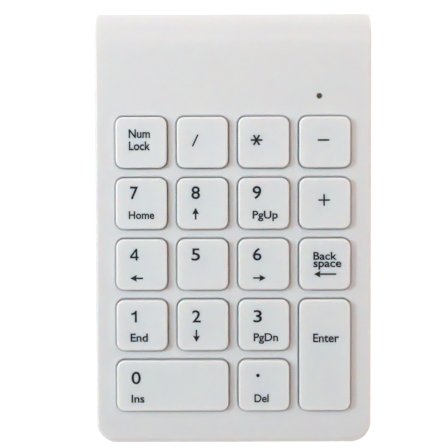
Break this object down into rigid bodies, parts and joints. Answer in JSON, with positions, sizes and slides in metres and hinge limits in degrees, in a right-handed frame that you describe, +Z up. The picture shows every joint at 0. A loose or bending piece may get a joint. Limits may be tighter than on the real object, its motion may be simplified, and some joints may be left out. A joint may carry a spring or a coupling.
{
  "type": "numeric keypad",
  "caption": "Slim wireless numeric keypad with a wedge-shaped white case, low square keys, a tall Enter key, a wide zero key and a battery compartment underneath.",
  "frame": {"origin": "centre of the footprint, on the surface that the feet stand on", "axes": "+X to the user's right, +Y away from the user towards the rear edge, +Z up"},
  "size_m": [0.0864, 0.1352, 0.0174],
  "materials": {
    "white_shell": "fine satin white ABS",
    "white_cap": "fine satin white ABS with black printed legends",
    "natural_plastic": "natural ABS, unpainted",
    "smoked_plastic": "clear smoked acrylic",
    "silicone": "translucent silicone",
    "polyester": "clear polyester sheet with printed silver tracks",
    "plain_steel": "zinc-plated sheet",
    "board_green": "glass-epoxy board with solder mask",
    "black_epoxy": "moulded epoxy",
    "can_metal": "drawn and plated metal can",
    "led_body": "clear epoxy over phosphor",
    "black_plastic": "black acetal",
    "cell_sleeve": "printed sleeve over a metal can",
    "spring_steel": "nickel-plated spring steel",
    "rubber_grey": "matt elastomer pads",
    "screw_steel": "zinc-plated screws"
  },
  "bodies": {
    "case": {"top_cover": "white_shell", "bottom_cover": "white_shell", "light_pipe": "smoked_plastic", "guide_plate": "natural_plastic", "membrane_top": "polyester", "membrane_spacer": "polyester", "membrane_bottom": "polyester", "back_plate": "plain_steel", "circuit_board": "board_green", "controller_chip": "black_epoxy", "crystal": "can_metal", "indicator_led": "led_body", "membrane_clamp": "natural_plastic", "power_switch_body": "can_metal", "battery_cell": "cell_sleeve", "contact_spring": "spring_steel", "contact_plate": "spring_steel", "rubber_feet": "rubber_grey", "case_screws": "screw_steel", "plate_screws": "screw_steel", "dome_num_lock": "silicone", "dome_divide": "silicone", "dome_multiply": "silicone", "dome_minus": "silicone", "dome_7": "silicone", "dome_8": "silicone", "dome_9": "silicone", "dome_plus": "silicone", "dome_4": "silicone", "dome_5": "silicone", "dome_6": "silicone", "dome_backspace": "silicone", "dome_1": "silicone", "dome_2": "silicone", "dome_3": "silicone", "dome_enter": "silicone", "dome_0": "silicone", "dome_decimal": "silicone"},
    "key_num_lock": {"key_num_lock": "white_cap"},
    "key_divide": {"key_divide": "white_cap"},
    "key_multiply": {"key_multiply": "white_cap"},
    "key_minus": {"key_minus": "white_cap"},
    "key_7": {"key_7": "white_cap"},
    "key_8": {"key_8": "white_cap"},
    "key_9": {"key_9": "white_cap"},
    "key_plus": {"key_plus": "white_cap"},
    "key_4": {"key_4": "white_cap"},
    "key_5": {"key_5": "white_cap"},
    "key_6": {"key_6": "white_cap"},
    "key_backspace": {"key_backspace": "white_cap"},
    "key_1": {"key_1": "white_cap"},
    "key_2": {"key_2": "white_cap"},
    "key_3": {"key_3": "white_cap"},
    "key_enter": {"key_enter": "white_cap"},
    "key_0": {"key_0": "white_cap"},
    "key_decimal": {"key_decimal": "white_cap"},
    "stabiliser_0": {"stabiliser_0": "spring_steel"},
    "stabiliser_enter": {"stabiliser_enter": "spring_steel"},
    "power_switch_knob": {"power_switch_knob": "black_plastic"},
    "battery_door": {"battery_door": "white_shell"}
  },
  "joints": [
    {"name": "press_num_lock", "type": "slide", "parent": "case", "child": "key_num_lock", "axis": [0, 0.061, -0.9981], "range_m": [0, 0.002], "stiffness_N_per_m": 200, "springref_m": -0.001, "deforming": ["dome_num_lock"]},
    {"name": "press_divide", "type": "slide", "parent": "case", "child": "key_divide", "axis": [0, 0.061, -0.9981], "range_m": [0, 0.002], "stiffness_N_per_m": 200, "springref_m": -0.001, "deforming": ["dome_divide"]},
    {"name": "press_multiply", "type": "slide", "parent": "case", "child": "key_multiply", "axis": [0, 0.061, -0.9981], "range_m": [0, 0.002], "stiffness_N_per_m": 200, "springref_m": -0.001, "deforming": ["dome_multiply"]},
    {"name": "press_minus", "type": "slide", "parent": "case", "child": "key_minus", "axis": [0, 0.061, -0.9981], "range_m": [0, 0.002], "stiffness_N_per_m": 200, "springref_m": -0.001, "deforming": ["dome_minus"]},
    {"name": "press_7", "type": "slide", "parent": "case", "child": "key_7", "axis": [0, 0.061, -0.9981], "range_m": [0, 0.002], "stiffness_N_per_m": 200, "springref_m": -0.001, "deforming": ["dome_7"]},
    {"name": "press_8", "type": "slide", "parent": "case", "child": "key_8", "axis": [0, 0.061, -0.9981], "range_m": [0, 0.002], "stiffness_N_per_m": 200, "springref_m": -0.001, "deforming": ["dome_8"]},
    {"name": "press_9", "type": "slide", "parent": "case", "child": "key_9", "axis": [0, 0.061, -0.9981], "range_m": [0, 0.002], "stiffness_N_per_m": 200, "springref_m": -0.001, "deforming": ["dome_9"]},
    {"name": "press_plus", "type": "slide", "parent": "case", "child": "key_plus", "axis": [0, 0.061, -0.9981], "range_m": [0, 0.002], "stiffness_N_per_m": 200, "springref_m": -0.001, "deforming": ["dome_plus"]},
    {"name": "press_4", "type": "slide", "parent": "case", "child": "key_4", "axis": [0, 0.061, -0.9981], "range_m": [0, 0.002], "stiffness_N_per_m": 200, "springref_m": -0.001, "deforming": ["dome_4"]},
    {"name": "press_5", "type": "slide", "parent": "case", "child": "key_5", "axis": [0, 0.061, -0.9981], "range_m": [0, 0.002], "stiffness_N_per_m": 200, "springref_m": -0.001, "deforming": ["dome_5"]},
    {"name": "press_6", "type": "slide", "parent": "case", "child": "key_6", "axis": [0, 0.061, -0.9981], "range_m": [0, 0.002], "stiffness_N_per_m": 200, "springref_m": -0.001, "deforming": ["dome_6"]},
    {"name": "press_backspace", "type": "slide", "parent": "case", "child": "key_backspace", "axis": [0, 0.061, -0.9981], "range_m": [0, 0.002], "stiffness_N_per_m": 200, "springref_m": -0.001, "deforming": ["dome_backspace"]},
    {"name": "press_1", "type": "slide", "parent": "case", "child": "key_1", "axis": [0, 0.061, -0.9981], "range_m": [0, 0.002], "stiffness_N_per_m": 200, "springref_m": -0.001, "deforming": ["dome_1"]},
    {"name": "press_2", "type": "slide", "parent": "case", "child": "key_2", "axis": [0, 0.061, -0.9981], "range_m": [0, 0.002], "stiffness_N_per_m": 200, "springref_m": -0.001, "deforming": ["dome_2"]},
    {"name": "press_3", "type": "slide", "parent": "case", "child": "key_3", "axis": [0, 0.061, -0.9981], "range_m": [0, 0.002], "stiffness_N_per_m": 200, "springref_m": -0.001, "deforming": ["dome_3"]},
    {"name": "press_enter", "type": "slide", "parent": "case", "child": "key_enter", "axis": [0, 0.061, -0.9981], "range_m": [0, 0.002], "stiffness_N_per_m": 200, "springref_m": -0.001, "deforming": ["dome_enter"]},
    {"name": "press_0", "type": "slide", "parent": "case", "child": "key_0", "axis": [0, 0.061, -0.9981], "range_m": [0, 0.002], "stiffness_N_per_m": 200, "springref_m": -0.001, "deforming": ["dome_0"]},
    {"name": "press_decimal", "type": "slide", "parent": "case", "child": "key_decimal", "axis": [0, 0.061, -0.9981], "range_m": [0, 0.002], "stiffness_N_per_m": 200, "springref_m": -0.001, "deforming": ["dome_decimal"]},
    {"name": "stabiliser_swing_0", "type": "hinge", "parent": "case", "child": "stabiliser_0", "pos_m": [-0.01905, -0.04277, 0.00666], "axis": [1, 0, 0], "range_deg": [0, 17]},
    {"name": "stabiliser_swing_enter", "type": "hinge", "parent": "case", "child": "stabiliser_enter", "pos_m": [0.02233, -0.0395, 0.00686], "axis": [0, 0.9981, 0.061], "range_deg": [0, 17]},
    {"name": "power_switch_slide", "type": "slide", "parent": "case", "child": "power_switch_knob", "axis": [1, 0, 0], "range_m": [0, 0.002]},
    {"name": "battery_door_slide", "type": "slide", "parent": "case", "child": "battery_door", "axis": [0, 1, 0], "range_m": [0, 0.022]}
  ],
  "couplings": [
    {"joint": "stabiliser_swing_0", "follows": "press_0", "rad_per_m": 147.36},
    {"joint": "stabiliser_swing_enter", "follows": "press_enter", "rad_per_m": 147.36}
  ]
}
